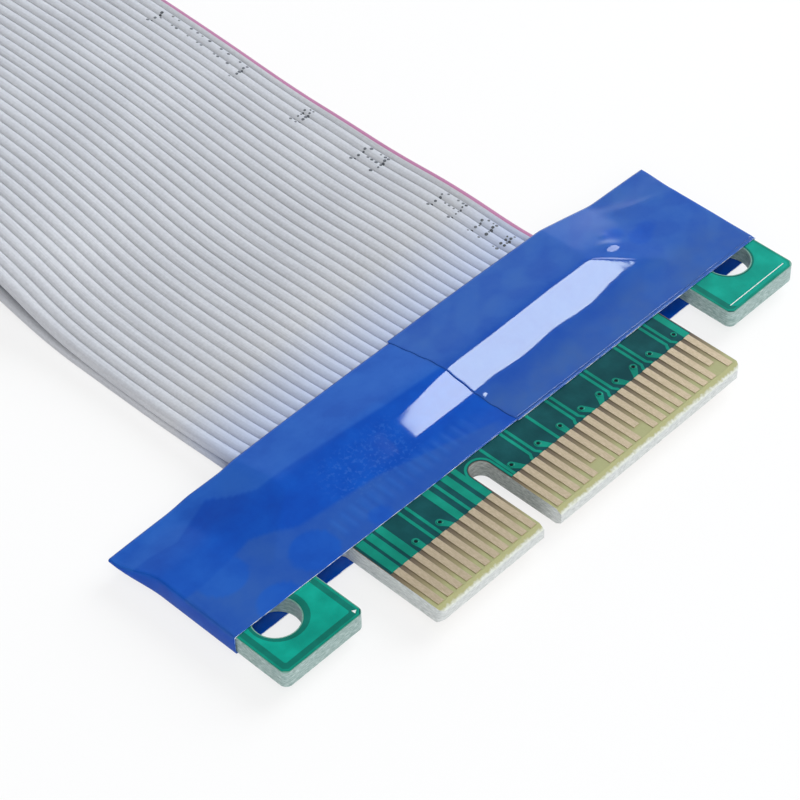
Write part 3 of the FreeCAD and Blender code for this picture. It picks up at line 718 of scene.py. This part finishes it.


# Blue polyester film with a glossy smooth face: saturated blue, greyer over the bare board where the glue
# hasn't wetted out, and paler in a painted reflection of a pale sheen at the back, the left corner and over
# the wires, as well as where it has lifted in patches over the lap and in flecks on the ramp.
tape, tree, shader, place = new_finish("blue polyester film tape, glossy")
worn = {key: add(tree, "ShaderNodeAttribute", attribute_name=key).outputs["Fac"]
        for key in ("haze", "lift", "press", "loose", "scuff")}
cloud = add(tree, "ShaderNodeTexNoise",
            {"Vector": place, "Scale": 1 / (3.5 * mm), "Detail": 5.0, "Roughness": 0.6})
tint = add(tree, "ShaderNodeValToRGB", {"Fac": cloud.outputs["Fac"]})
set_stops(tint, [(0.3, "#0242A7"), (0.5, "#034AB1"), (0.72, "#0954BB")])
patchy = add(tree, "ShaderNodeMapRange",
             {"Value": cloud.outputs["Fac"], "From Min": 0.35, "From Max": 0.62, "To Min": 0.5})
speck = add(tree, "ShaderNodeTexNoise", {"Vector": place, "Scale": 1 / (0.3 * mm), "Detail": 2.0})
fleck = add(tree, "ShaderNodeMapRange", {"Value": speck.outputs["Fac"], "From Min": 0.52, "From Max": 0.68})
fleck = add(tree, "ShaderNodeMath", {0: fleck.outputs["Result"], 1: worn["press"]}, operation="MULTIPLY")
# Paler blue where the film has lifted, and where the lift attribute carries painted reflection.
pale_and_sheen = add(tree, "ShaderNodeMath", {0: worn["lift"], 1: patchy.outputs["Result"], 2: fleck.outputs[0]},
           operation="MULTIPLY_ADD", use_clamp=True)
dull = add(tree, "ShaderNodeMath", {0: worn["haze"], 1: patchy.outputs["Result"]}, operation="MULTIPLY")
shown = tint.outputs[0]
for share, code in ((pale_and_sheen, "#2560BA"), (dull, "#385995")):
    shown = add(tree, "ShaderNodeMix", {0: share.outputs[0], 6: shown, 7: colour(code)},
                data_type="RGBA").outputs[2]
# The film swells by a few hundredths of a millimetre in waves of about 2 mm, and a little at each fleck.
pimple = add(tree, "ShaderNodeMath", {0: fleck.outputs[0], 1: 0.02}, operation="MULTIPLY")
wave = add(tree, "ShaderNodeTexNoise", {"Vector": place, "Scale": 1 / (2.2 * mm), "Detail": 2.0})
swell = add(tree, "ShaderNodeMath", {0: wave.outputs["Fac"], 1: worn["loose"], 2: pimple.outputs[0]},
            operation="MULTIPLY_ADD")
rise = add(tree, "ShaderNodeBump", {"Height": swell.outputs[0], "Strength": 0.30, "Distance": 0.05 * mm})
# The folded sides are scuffed, so they are duller than the faces.
gloss = add(tree, "ShaderNodeMapRange", {"Value": worn["scuff"], "To Min": 0.045, "To Max": 0.45})
shine = add(tree, "ShaderNodeMapRange", {"Value": worn["scuff"], "To Min": 0.5, "To Max": 0.12})
feed(tree, shader, {"Base Color": shown, "Normal": rise.outputs[0], "Roughness": gloss.outputs["Result"],
                    "Specular IOR Level": shine.outputs["Result"], "IOR": 1.5})

# The cut edge of the same film, nicked by the blade: whitened in short lengths, partly by the blade and
# partly as a painted highlight of the light that the edge catches.
cut_edge_and_highlight = grained_finish("blue polyester film tape, cut edge and painted highlight", (0.8, 0.8, 0.8), 3.0,
                          [(0.38, "#3465BE"), (0.48, "#93B0E4"), (0.60, "#F2F6FE")], 0.35)

# Waves of the whole film: height, length along X and Y, and start.
film_waves = ((0.006, 10.7, 17, 1.1), (0.003, 5.3, -11, 2.0), (0.010, 17.0, 31, 0.3))
# Spots by X, Y and radius: wetted out in the grey of the left side, and stuck down at the right end.
wet_spots = ((-25.7, 13.9, 2.1), (-19.3, 10.7, 2.1), (-24.4, 9.0, 2.0), (-13.5, 9.6, 1.0))
stuck_spots = ((21.2, 16.8, 0.75), (22.7, 15.1, 0.9), (23.9, 15.5, 0.7))


def lay_film(name, node, tip, way, middle, skew, leans, creases, lap):
    # Columns crowd at the sides and at the lap, and rows at the front edge. The lap is drawn where lap is 1.
    left = np.linspace(-film_half, -0.3, 84)
    left = np.concatenate([-film_half + np.array([0, 0.02, 0.06, 0.12, 0.3]), left[2:]])
    base = np.concatenate([left, [-0.10, -0.03, -0.015, 0.015, 0.03, 0.10], -left[::-1]])
    rows = [0, 0.1, 0.2, 0.29, 0.31, 0.35, 0.37, 0.48]
    rows = np.concatenate([rows, np.linspace(0.65, film_depth, 86)]) / film_depth
    to_side = base / film_half
    inwards = 1 - np.abs(to_side)
    over = ease(-0.015, 0.015, base) * lap
    front = 8.72 - skew * 0.37 * to_side - 0.12 * over
    tuck = np.interp(base, [-29, -21.5, -18.5, 0, 14, 21, 28], [0.2, 0.24, 0.62, 0.71, 0.65, 0.53, 0.38])
    back = 22.15 - skew * (0.45 * to_side + 0.62 * to_side ** 2) + 0.22 * over - lap * tuck
    # The film turns over the board's side in a small round, and is rubbed there.
    roll = np.clip((np.abs(base) - (film_half - 0.12)) / 0.12, 0, 1)
    drop = 0.08 * (1 - np.sqrt(1 - roll ** 2))
    rubbed = list(np.clip(3 * roll, 0, 1))
    turns = [math.pi * i / 4 for i in (1, 2, 3)]
    side = [1.0] * len(turns)
    loops = []
    worn = {"haze": [], "lift": [], "press": [], "loose": [], "scuff": []}
    for t in rows:
        y = front + (back - front) * t
        x = base + lap * (0.70 - 0.0724 * (y - 9.0)) * inwards ** 2
        x = x + lap * 0.03 * np.sin(3.7 * y) * inwards ** 8
        # Pressed flat behind the board, the wrap is wider by the board's thickness.
        x = x + 0.74 * ease(16.8, 21.2, y) * np.sign(base) * ease(17.5, film_half, np.abs(base))
        top = film_height(x, y, 0.73, leans[0])
        # The underside is pressed flat where it lies on the table.
        low = np.maximum(-film_height(x, y, 0.59, leans[1]), 0.095 - middle)
        in_ramp = band(10.6, 12.0, 15.5, 17.0, y) * (1 - ease(17.0, 20.0, np.abs(x)))
        wave = sum(size * np.sin(2 * np.pi * (x / long_x + y / long_y) + start)
                   for size, long_x, long_y, start in film_waves)
        top = top + wave * (1 - 0.85 * in_ramp)
        # A faint step across the ramp ends the bright bar, and the wires show as stripes below it.
        step = 0.03 * ease(-7.8, -6.3, x) - 0.006
        top = top + lap * step * band(10.5, 12.8, 14.6, 17.5, y)
        over_wires = band(-17.2, -16.4, -3.5, -0.5, x) * band(9.6, 10.6, 11.4, 12.4, y)
        stripes = np.cos(np.pi * (x - 0.5)) ** 2 * over_wires
        top = top + 0.03 * stripes * lap
        for crease in creases:
            top = top + ripple(x, y, *crease)
        top = top + over * (0.022 + 0.028 * ease(0.31, 0.35, y - front))
        top = top - np.minimum(top, over_board) * drop
        low = low + np.minimum(-low, over_board) * drop
        # Grey haze lies in front of a line on the left side, and over the lap on the right.
        limit = np.interp(x, [-29, -27, -22, -18.7, -10.7, -4.7, 0],
                          [14.3, 14.3, 14.9, 13.1, 12.4, 10.9, 9.6])
        bare = (1 - ease(-0.2, 0.2, y - limit)) * (1 - ease(-1.5, 0.4, x))
        haze = bare * 0.40 * (1 - 0.6 * stripes)
        for cx, cy, radius in wet_spots:
            haze = haze * ease(radius - 0.14, radius + 0.14, np.hypot(x - cx, (y - cy) * 1.15))
        haze = haze + over * (0.74 - 0.37 * ease(10.0, 14.0, y))
        # Behind a second line the film is painted paler, a painted reflection of a pale sheen. Over the lap
        # the glue holds in patches of about 3 mm.
        limit = np.interp(x, [-27.8, -25.5, -23.0, -21.1, -19.8, -18.4, -14.8, -6.0, 0],
                          [19.45, 19.0, 19.9, 20.5, 18.8, 17.7, 17.5, 16.6, 16.2])
        held = np.sin(1.15 * x + 1.7 * np.sin(0.8 * y)) * np.sin(1.05 * y + 1.3 * np.sin(0.55 * x) + 0.6)
        loose_lap = over * (1 - in_ramp) * (0.30 + 0.62 * ease(-0.35, 0.35, held))
        lift_and_sheen = 0.87 * ease(-0.18, 0.18, y - limit) * (1 - over) + loose_lap + 0.33 * bare
        # The wire stripes and the left corner are painted paler still, as painted reflection.
        lift_and_sheen = lift_and_sheen + 0.8 * stripes + 0.4 * (1 - ease(-26.5, -22.5, x))
        for cx, cy, radius in stuck_spots:
            stuck = ease(radius - 0.3, radius + 0.3, np.hypot((x - cx) * 0.8, y - cy))
            haze = haze * (0.3 + 0.7 * stuck)
            lift_and_sheen = lift_and_sheen * (0.2 + 0.8 * stuck)
        pressed = 0.6 * band(-16, -13, -7.5, -5.5, x) * band(11.2, 12.6, 15.2, 16.5, y)
        loose = 0.65 - in_ramp * (0.4 + 0.17 * (1 - ease(-5, -2, x)))
        arcs = []
        for end, sign in ((-1, 1), (0, -1)):
            centre = (top[end] + low[end]) / 2
            reach = (top[end] - low[end]) / 2
            arcs.append([(x[end] + sign * 0.04 * math.sin(a), y[end], centre + sign * reach * math.cos(a))
                         for a in turns])
        points = list(zip(x, y, top)) + arcs[0] + list(zip(x, y, low))[::-1] + arcs[1]
        loops.append([(px * mm, (tip + way * py) * mm, (middle + pz) * mm) for px, py, pz in points])
        plain = [0.0] * (len(points) - len(x))
        worn["haze"] += list(haze * lap) + plain
        worn["lift"] += list(np.clip(lift_and_sheen, 0, 1) * lap) + plain
        worn["press"] += list(pressed * lap) + plain
        worn["loose"] += list(loose) + plain
        worn["scuff"] += rubbed + side + rubbed[::-1] + side
    n = len(loops[0])
    verts = [p for loop in loops for p in loop]
    faces = [(r * n + i, r * n + (i + 1) % n, (r + 1) * n + (i + 1) % n, (r + 1) * n + i)
             for r in range(len(rows) - 1) for i in range(n)]
    mesh = bpy.data.meshes.new(name)
    mesh.from_pydata(verts, [], faces)
    for key, values in worn.items():
        mesh.attributes.new(key, "FLOAT", "POINT").data.foreach_set("value", values)
    turn_out(mesh)
    mesh.shade_smooth()
    mesh.materials.append(tape)
    mesh.materials.append(cut_edge_and_highlight)
    film = set_down(name, mesh)
    wall = film.modifiers.new("film thickness", "SOLIDIFY")
    wall.thickness = film_thickness * mm
    wall.offset = 1.0
    wall.material_offset_rim = 1
    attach(film, "root")
    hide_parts(node)


# Creases by X, Y, half length, half width, angle in degrees and height.
plug_creases = [(26.6, 17.5, 2.8, 0.45, -19, 0.05), (24.2, 18.8, 1.8, 0.7, -35, 0.05),
                (19.7, 15.9, 0.9, 0.6, -15, 0.19), (20.4, 17.1, 0.4, 0.25, 80, 0.05),
                (-21.0, 19.5, 2.5, 1.2, 20, -0.06), (0.75, 12.4, 0.25, 0.2, 0, 0.06),
                (-14.0, 13.55, 3.5, 0.16, -4.5, 0.010)]
lay_film("plug_film", "plug_tape", plug_tip, 1, 1.88, 1.0, (0.0105, -0.0127), plug_creases, 1.0)
lay_film("socket_film", "socket_tape", board_back + 16.8, -1, 3.75, 0.3, (0.0, 0.0), [], 0.0)

# Stage: a wide pale floor under the part, a plain sky that is white at the horizon and dimmer overhead, a
# small softbox that draws the bright bar on the film, and large panels to the right and in front.
floor_mesh = bpy.data.meshes.new("floor")
shell = bmesh.new()
bmesh.ops.create_circle(shell, cap_ends=True, segments=64, radius=8.0)
shell.to_mesh(floor_mesh)
shell.free()
floor = set_down("floor", floor_mesh)
paper, tree, shader, place = new_finish("matt white paper")
feed(tree, shader, {"Base Color": colour("#F6F6F6"), "Roughness": 0.9, "Specular IOR Level": 0.1})
# Seen straight on or in a reflection, the paper is lit to white far away and keeps the soft shadow close by.
rays = add(tree, "ShaderNodeLightPath").outputs
direct = rays["Is Camera Ray"]
for ray in ("Is Glossy Ray", "Is Transmission Ray"):
    direct = add(tree, "ShaderNodeMath", {0: direct, 1: rays[ray]}, operation="MAXIMUM").outputs[0]
away = add(tree, "ShaderNodeVectorMath", {0: place}, operation="LENGTH")
white = add(tree, "ShaderNodeMapRange",
            {"Value": away.outputs["Value"], "From Min": 0.2, "From Max": 0.7, "To Min": 0.78})
share = add(tree, "ShaderNodeMath", {0: direct, 1: white.outputs["Result"]}, operation="MULTIPLY")
glow = add(tree, "ShaderNodeEmission", {"Strength": 1.0})
lit = add(tree, "ShaderNodeMixShader", {0: share.outputs[0], 1: shader.outputs[0], 2: glow.outputs[0]})
feed(tree, tree.nodes["Material Output"], {"Surface": lit.outputs[0]})
floor_mesh.materials.append(paper)

world = bpy.data.worlds.new("studio")
bpy.context.scene.world = world
world.use_nodes = True
tree = world.node_tree
outlook = add(tree, "ShaderNodeTexCoord").outputs["Generated"]
upwards = add(tree, "ShaderNodeSeparateXYZ", {0: outlook}).outputs["Z"]
sky = add(tree, "ShaderNodeValToRGB", {"Fac": upwards})
set_stops(sky, [(0.15, "#FFFFFF"), (0.42, "#7C7C7D")])
# A broad soft glow low behind the right side gives the film its pale sheen.
towards = add(tree, "ShaderNodeVectorMath", {0: outlook, 1: (0.85, 0.45, 0.27)}, operation="DOT_PRODUCT")
sheen = add(tree, "ShaderNodeMapRange",
            {"Value": towards.outputs["Value"], "From Min": 0.80, "From Max": 0.88})
sheen_tint = add(tree, "ShaderNodeValToRGB", {"Fac": sheen.outputs["Result"]})
set_stops(sheen_tint, [(0.0, "#000000"), (1.0, "#86A9CF")])
both = add(tree, "ShaderNodeMix", {0: 1.0, 6: sky.outputs[0], 7: sheen_tint.outputs[0]},
           data_type="RGBA", blend_type="ADD")
feed(tree, tree.nodes["Background"], {"Color": both.outputs[2]})


def panel(name, aim, towards, distance, across, size, radiance, tint="#FFFFFF"):
    light = bpy.data.lights.new(name, "AREA")
    light.color = colour(tint)[:3]
    light.shape = "RECTANGLE"
    light.size, light.size_y = size
    light.energy = radiance * math.pi * size[0] * size[1]
    towards = Vector(towards).normalized()
    across = Vector(across)
    across = (across - across.dot(towards) * towards).normalized()
    upright = towards.cross(across)
    turn = Matrix((across, upright, towards)).transposed().to_4x4()
    set_down(name, light).matrix_world = Matrix.Translation(Vector(aim) + towards * distance) @ turn


panel("film_softbox", (0.0106, -0.1106, 0.0021), (0.532, 0.0635, 0.844), 0.6, (76, -2.3, -31.4),
      (0.090, 0.12), 11.6, "#F4FFFE")
panel("right_key", (0, -0.09, 0), (0.84, -0.12, 0.53), 0.9, (0, 1, 0), (0.6, 0.6), 5.5)
panel("front_fill", (0, -0.09, 0), (-0.40, -0.55, 0.73), 1.0, (1, -0.7, 0), (0.8, 0.8), 2.4)

camera = set_down("camera", bpy.data.cameras.new("camera"))
camera.data.lens = 128.552
camera.data.sensor_width = 36.0
camera.matrix_world = Matrix(((0.6909, 0.52785, -0.49399, -0.1129425),
                              (-0.72276, 0.48893, -0.48842, -0.2160423),
                              (-0.01628, 0.69449, 0.71931, 0.1615768), (0, 0, 0, 1)))
bpy.context.scene.camera = camera
bpy.context.scene.view_settings.view_transform = "Standard"
